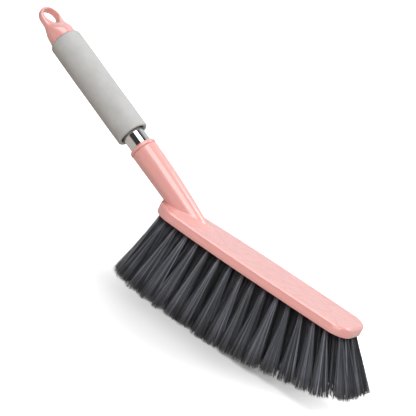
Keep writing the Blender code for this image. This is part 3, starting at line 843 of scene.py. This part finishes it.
def make_block():
    """The bar that holds the tufts."""
    size = Vector((BLOCK_LENGTH, BLOCK_WIDTH, BLOCK_THICKNESS))
    bpy.ops.object.select_all(action="DESELECT")
    bpy.ops.mesh.primitive_cube_add(size=1, location=HEAD + Vector((size.x / 2, 0, size.z / 2)))
    block = bpy.context.object
    block.name = "moulded_block"
    block.scale = size
    place_in_mesh(block)
    bpy.ops.object.mode_set(mode="EDIT")
    pick(lambda edge: abs(edge.verts[0].co.z - edge.verts[1].co.z) > size.z / 2
         and edge.verts[0].co.x > HEAD.x + size.x / 2, "EDGE")
    bpy.ops.mesh.bevel(offset=NOSE_CORNER, segments=18, affect="EDGES", clamp_overlap=False)
    cuts = [HEEL_ROUND * (1 - math.cos(math.pi / 2 * step / 26)) for step in range(1, 26)]
    straight = BLOCK_LENGTH - NOSE_CORNER - HEEL_ROUND
    cuts += [HEEL_ROUND + straight * step / 20 for step in range(20)]
    for across in cuts:
        bpy.ops.mesh.select_all(action="SELECT")
        bpy.ops.mesh.bisect(plane_co=(HEAD.x + across, 0, 0), plane_no=(1, 0, 0))
    bpy.ops.object.mode_set(mode="OBJECT")
    shape_sides(block)
    bpy.ops.object.mode_set(mode="EDIT")
    bpy.ops.mesh.select_all(action="SELECT")
    bpy.ops.mesh.remove_doubles(threshold=HAIR)
    bpy.ops.mesh.select_all(action="SELECT")
    bpy.ops.mesh.dissolve_limited(angle_limit=math.radians(0.01))
    top, low = HEAD.z + size.z, HEAD.z

    def on_rim(edge, height):
        level = all(abs(vert.co.z - height) < HAIR for vert in edge.verts)
        return level and any(abs(face.normal.z) < 0.5 for face in edge.link_faces)

    pick(lambda edge: on_rim(edge, top), "EDGE")
    bpy.ops.mesh.bevel(offset=TOP_RIM, segments=6, profile=0.28, affect="EDGES",
                       clamp_overlap=False)
    pick(lambda edge: on_rim(edge, low), "EDGE")
    bpy.ops.mesh.bevel(offset=LOW_RIM, segments=2, affect="EDGES", clamp_overlap=False)
    pick(lambda face: face.normal.z > 0.999 and face.calc_center_median().z > top - HAIR, "FACE")
    bpy.ops.mesh.inset(thickness=0.5 * MM)
    bpy.ops.object.mode_set(mode="OBJECT")
    shade(block, 60)
    finish_piece(block, "brush", "pink_polypropylene", creased_pink, "brush_head")


make_block()

# %% [markdown]
# ## The neck
#
# The neck has a straight lower side, which meets the block at its very tip, and an upper side that
# bends down to the block. Like the cap it is a disc extruded ring by ring, and its rings tilt on
# the way until the last one lies level on the block. A low mound swells round its foot. The two
# are joined, bored for the tube, and remeshed finely, so that a little smoothing can turn the line
# between them into the soft crease that a mould maker leaves.

# %% The sides of the neck
NECK_MOUTH_RADIUS = 11.7 * MM
NECK_FOOT_HALF_WIDTH = 9.4 * MM
NECK_STRAIGHT = 45.3 * MM
NECK_FOOT = Vector((0.8 * MM, 0, 0)), Vector((50.0 * MM, 0, 0))
SUNK_IN_BLOCK = 1.2 * MM


def neck_sides(share):
    """Lower and upper point of the neck in the middle plane, from its mouth to the block."""
    outwards = Vector((math.sin(HANDLE_ANGLE), 0, math.cos(HANDLE_ANGLE))) * NECK_MOUTH_RADIUS
    mouth = HANDLE_FOOT + UP_HANDLE * NECK_MOUTH
    top = HEAD + Vector((0, 0, BLOCK_THICKNESS))
    lower = (mouth - outwards).lerp(top + NECK_FOOT[0], share)
    bend = mouth + outwards - UP_HANDLE * NECK_STRAIGHT
    upper_start = (mouth + outwards).lerp(bend, share)
    return lower, upper_start.lerp(bend.lerp(top + NECK_FOOT[1], share), share)


def neck_rings(sections=46, sides=96):
    """Rings from the mouth down to the block, and one more sunk in it."""
    rings = []
    for step in range(sections + 1):
        share = 1 - (1 - step / sections) ** 2
        lower, upper = neck_sides(share)
        half_width = NECK_MOUTH_RADIUS + (NECK_FOOT_HALF_WIDTH - NECK_MOUTH_RADIUS) * share ** 2
        centre, reach, across = (lower + upper) / 2, (upper - lower) / 2, Vector((0, half_width, 0))
        turns = [math.tau * side / sides for side in range(sides)]
        rings.append([centre + reach * math.cos(turn) + across * math.sin(turn) for turn in turns])
    rings.append([point - Vector((0, 0, SUNK_IN_BLOCK)) for point in rings[-1]])
    return rings


def mound_rings(sides=96, steps=14):
    """Rings of the low mound, from below the block's top up to its middle."""
    middle = HEAD + Vector((28.0 * MM, 0, BLOCK_THICKNESS))
    half_length, half_width, swell = 27.0 * MM, 17.0 * MM, 5.5 * MM
    levels = [(1, -SUNK_IN_BLOCK)]
    for out in [1 - step / steps for step in range(steps)]:
        levels.append((out, swell * (1 - out * out) ** 1.5 - 0.2 * MM))
    turns = [math.tau * side / sides for side in range(sides)]
    return [[middle + Vector((half_length * out * math.cos(turn),
                              half_width * out * math.sin(turn), height)) for turn in turns]
            for out, height in levels]


# %% The neck
def make_neck():
    """The neck with its socket and the mound round its foot."""
    neck = grow_rings("moulded_neck", neck_rings())
    mound = grow_rings("foot_mound", mound_rings())
    bpy.ops.object.select_all(action="DESELECT")
    bpy.ops.mesh.primitive_cylinder_add(vertices=96, radius=TUBE_RADIUS + GAP, depth=40 * MM)
    bore = bpy.context.object
    lay_on_handle(bore, SOCKET_BOTTOM + 20 * MM)
    combine(neck, mound, "UNION")
    combine(neck, bore, "DIFFERENCE")
    soften(neck, 0.45 * MM, 10)
    finish_piece(neck, "brush", "pink_polypropylene", creased_pink)


make_neck()

# %% [markdown]
# ## The bristles
#
# A machine drives 68 tufts of fine filaments into holes in the block. Each tuft is round and
# tight where it leaves its hole, and its filaments then spread. They cling together in strands
# that lean alike, and the trimming knife leaves the tips nearly level, shorter towards the nose.
# One filament is modelled: a three-sided prism that is extruded down in a few steps. Every other
# filament is a copy of it, bent and stretched to its own path.

# %% The filament that is copied
def make_filament(steps):
    """A three-sided filament, one unit long, extruded down in steps."""
    bpy.ops.object.select_all(action="DESELECT")
    bpy.ops.mesh.primitive_circle_add(vertices=3, radius=1, fill_type="NGON")
    piece = bpy.context.object
    bpy.ops.object.mode_set(mode="EDIT")
    bpy.ops.mesh.select_all(action="SELECT")
    for step in range(steps):
        bpy.ops.mesh.extrude_region_move(TRANSFORM_OT_translate={"value": (0, 0, -1 / steps)})
    bpy.ops.mesh.select_all(action="SELECT")
    bpy.ops.mesh.normals_make_consistent(inside=False)
    bpy.ops.mesh.quads_convert_to_tris()
    bpy.ops.object.mode_set(mode="OBJECT")
    points = np.array([vert.co[:] for vert in piece.data.vertices])
    faces = np.array([face.vertices[:] for face in piece.data.polygons])
    bpy.data.objects.remove(piece, do_unlink=True)
    return points, faces


FILAMENT_POINTS, FILAMENT_FACES = make_filament(4)
WAY_DOWN = -FILAMENT_POINTS[:, 2]
print("one filament has", len(FILAMENT_FACES), "triangles")

# %% [markdown]
# The tufts stand in four rows of 16. The outer rows follow the block's round corners, the inner
# rows stand between them, and two tufts fill each end. Each tuft leans away from a point near the
# neck end, and those at the nose flare a little more.

# %% Places of the tufts, in the block's own measures
TUFT_PITCH = 11.87 * MM
FIRST_TUFT = 17.0 * MM
TUFTS_IN_ROW = 16
ROW_INSET = 5.5 * MM
OUTER_ROW = BLOCK_WIDTH / 2 - ROW_INSET
INNER_ROW = 7.5 * MM
END_TUFTS = {"heel_end": 9.8 * MM, "nose_end": BLOCK_LENGTH - 5.6 * MM}
END_TUFT_ASIDE = 5.2 * MM


def outer_row_line(x):
    """Distance of an outer row from the middle plane: it follows the block's rounded ends."""
    heel = max(0, (HEEL_ROUND - x) / (HEEL_ROUND - ROW_INSET))
    bend = NOSE_CORNER - ROW_INSET
    nose = max(0, x - (BLOCK_LENGTH - NOSE_CORNER)) / bend
    rounded = bend * (1 - math.sqrt(max(0, 1 - nose ** 2)))
    reach = OUTER_ROW * math.sqrt(max(0, 1 - heel ** 2)) - rounded
    return reach * draw_in(x) - ROW_INSET * (1 - draw_in(x))


def tuft_places():
    """Places of the tufts by the name of their group."""
    outer = [FIRST_TUFT + TUFT_PITCH * step for step in range(TUFTS_IN_ROW)]
    inner = [x - TUFT_PITCH / 2 for x in outer]
    places = {}
    for side, name in ((-1, "front"), (1, "rear")):
        places[name + "_row"] = [(x, side * outer_row_line(x)) for x in outer]
        places[name + "_inner_row"] = [(x, side * INNER_ROW) for x in inner]
    for name, x in END_TUFTS.items():
        places[name] = [(x, -END_TUFT_ASIDE), (x, END_TUFT_ASIDE)]
    return places


print("tufts", {name: len(spots) for name, spots in tuft_places().items()})

# %% Trim and lean of the tufts
LONGEST_TUFT = 62.3
UPRIGHT_TUFT = 67 * MM
FLARE_START = 140 * MM


def trim_depth(x):
    """How far below the block the tips are trimmed, where a tip is at x."""
    share = max(0, (x / MM - 106) / 100)
    return (LONGEST_TUFT - 7.5 * share - 8.2 * share * share) * MM


def tuft_lean(x, y):
    """How far a tuft leans lengthwise and crosswise for each unit of its height."""
    flare = max(0, (x - FLARE_START) / (BLOCK_LENGTH - FLARE_START))
    aside = y / OUTER_ROW
    lengthwise = 0.546 * (x - UPRIGHT_TUFT) / BLOCK_LENGTH + 0.34 * flare
    return lengthwise, (0.19 + 0.16 * flare * abs(aside)) * aside


print("depth of the tips, mm", round(trim_depth(0) / MM), round(trim_depth(BLOCK_LENGTH) / MM))

# %% [markdown]
# Five filaments make a strand: they share most of their lean, their length and their shade, and
# differ only a little. About one strand in five is painted bright, as a painted highlight. The heel
# and inner tufts are wider at the root, so that no daylight shows between the rows.

# %% The strands of a tuft
FILAMENTS = 300
STRANDS = 60
ROOTS = {"outer": 1.4 * MM, "heel": 2.6 * MM, "inner": 4.9 * MM}
SPREAD = np.array([6.8, 5.6]) * MM
TIP_WANDER = 0.55 * MM
STRAND_SHORT, FILAMENT_SHORT = 0.7 * MM, 0.9 * MM
BRIGHT_SHARE = 0.22


def tuft_strands(random, x, y, root_radius):
    """Root, lean, spread, missing length and shade of every filament of one tuft."""
    lean = np.array(tuft_lean(x, y))
    lean = lean + random.normal(0, 0.012, 2)
    turn = random.uniform(0, math.tau, STRANDS)
    away = random.uniform(0, 1, STRANDS) ** 0.6
    strand = np.arange(FILAMENTS) % STRANDS
    centre = np.stack([away * np.cos(turn), away * np.sin(turn)], 1)[strand]
    aside = random.normal(0, 1, (FILAMENTS, 2))
    root = np.array([x, y]) + centre * root_radius + aside * 0.08 * root_radius
    tip = centre * SPREAD + aside * 0.3 * MM
    tip = tip + random.normal(0, TIP_WANDER, (FILAMENTS, 2))
    shorter = random.uniform(0, STRAND_SHORT, STRANDS)[strand]
    shorter = shorter + random.exponential(FILAMENT_SHORT, FILAMENTS)
    # Painted highlight: about one strand in five is painted bright.
    bright = random.uniform(0, 1, STRANDS) < BRIGHT_SHARE
    tone = np.where(bright, random.uniform(0.65, 1.0, STRANDS), random.normal(0.30, 0.14, STRANDS))
    tone = tone[strand] + random.normal(0, 0.08, FILAMENTS)
    # Painted light and shade: each tuft is painted lighter along its middle and darker at its
    # sides.
    tone = np.clip(tone + 0.5 * (0.5 - np.abs(centre[:, 0])), 0, 1)
    return root, lean, tip, shorter, tone


print("a tuft has", FILAMENTS, "filaments in", STRANDS, "strands")

# %% [markdown]
# A filament starts in its hole, follows the lean of its tuft and spreads outwards on the way
# down, and it thins a little to its tip. How long it is depends on where its tip ends up, so the
# length is worked out in three rounds.

# %% The path of each filament
FILAMENT_RADIUS = 0.165 * MM
SUNK = 0.6 * MM


def trimmed_reach(x, root, lean, tip):
    """Height of each filament, so that its tip ends where the knife passed."""
    reach = trim_depth(x) * np.ones(FILAMENTS)
    for trial in range(3):
        end_x = root[:, 0] + lean[0] * reach + tip[:, 0]
        reach = np.array([trim_depth(value) for value in end_x])
    return reach


def filament_points(random, root, lean, tip, reach):
    """Copies of the filament, each bent along its path, turned and drawn out to its tip."""
    down = WAY_DOWN[None, :, None]
    start = np.repeat(root[:, None], len(WAY_DOWN), 1)
    path = start + lean[None, None] * reach[:, None, None] * down + tip[:, None] * down ** 1.15
    turn = random.uniform(0, math.tau, FILAMENTS)
    section = FILAMENT_POINTS[:, :2]
    cos, sin = np.cos(turn)[:, None], np.sin(turn)[:, None]
    ring = np.stack([section[:, 0] * cos - section[:, 1] * sin,
                     section[:, 0] * sin + section[:, 1] * cos], 2)
    ring = ring * FILAMENT_RADIUS * (1 - 0.35 * down ** 2)
    height = -reach[:, None] * WAY_DOWN[None] + (1 - WAY_DOWN[None]) * SUNK
    return np.concatenate([path + ring, height[:, :, None]], 2).reshape(-1, 3)


print("filament", round(2 * FILAMENT_RADIUS / MM, 2), "mm")

# %% [markdown]
# The shade of each filament is written to its points, for the finish to read. It rises towards
# the tips. In the inner rows past the heel it is low, most of all at the roots, as painted shade
# where little light comes.

# %% The tufts of filaments
def make_tufts(name, places, seed):
    """One group of tufts as a single piece."""
    random = np.random.default_rng(seed)
    inner = "inner" in name
    root_radius = ROOTS["inner" if inner else "heel" if "heel" in name else "outer"]
    points, tones = [], []
    for x, y in places:
        root, lean, tip, shorter, tone = tuft_strands(random, x, y, root_radius)
        reach = trimmed_reach(x, root, lean, tip) - shorter
        points.append(filament_points(random, root, lean, tip, reach))
        # Painted shade: inner tufts past the heel are darker, most of all at their roots.
        light = 0.5 + 0.4 * WAY_DOWN if inner and x > HEEL_ROUND else np.ones(len(WAY_DOWN))
        tones.append(((tone[:, None] + 0.2 * WAY_DOWN ** 2) * light).ravel())
    points, tones = np.concatenate(points), np.concatenate(tones)
    count = len(points) // len(FILAMENT_POINTS)
    first_points = np.arange(count)[:, None, None] * len(FILAMENT_POINTS)
    faces = (FILAMENT_FACES[None] + first_points).reshape(-1, 3)
    mesh = bpy.data.meshes.new("filaments_" + name)
    mesh.from_pydata((points + np.array(HEAD)).tolist(), [], faces.tolist())
    shade_of = mesh.attributes.new("shade", "FLOAT", "POINT")
    shade_of.data.foreach_set("value", tones.astype(np.float32))
    piece = bpy.data.objects.new("filaments_" + name, mesh)
    bpy.context.collection.objects.link(piece)
    only(piece)
    bpy.ops.object.shade_smooth()
    finish_piece(piece, "brush", "dark_fibre", filament, "tufts_" + name)


for seed, (name, places) in enumerate(tuft_places().items()):
    make_tufts(name, places, seed + 1)

# %% [markdown]
# The wires inside the block stay as the frame has them: flat strips that nobody sees. They only
# get the finish of galvanised wire.

# %% The wires
for name, solid in nodes.items():
    if name.startswith("anchor_wire"):
        solid.data.materials.clear()
        solid.data.materials.append(wire_metal)
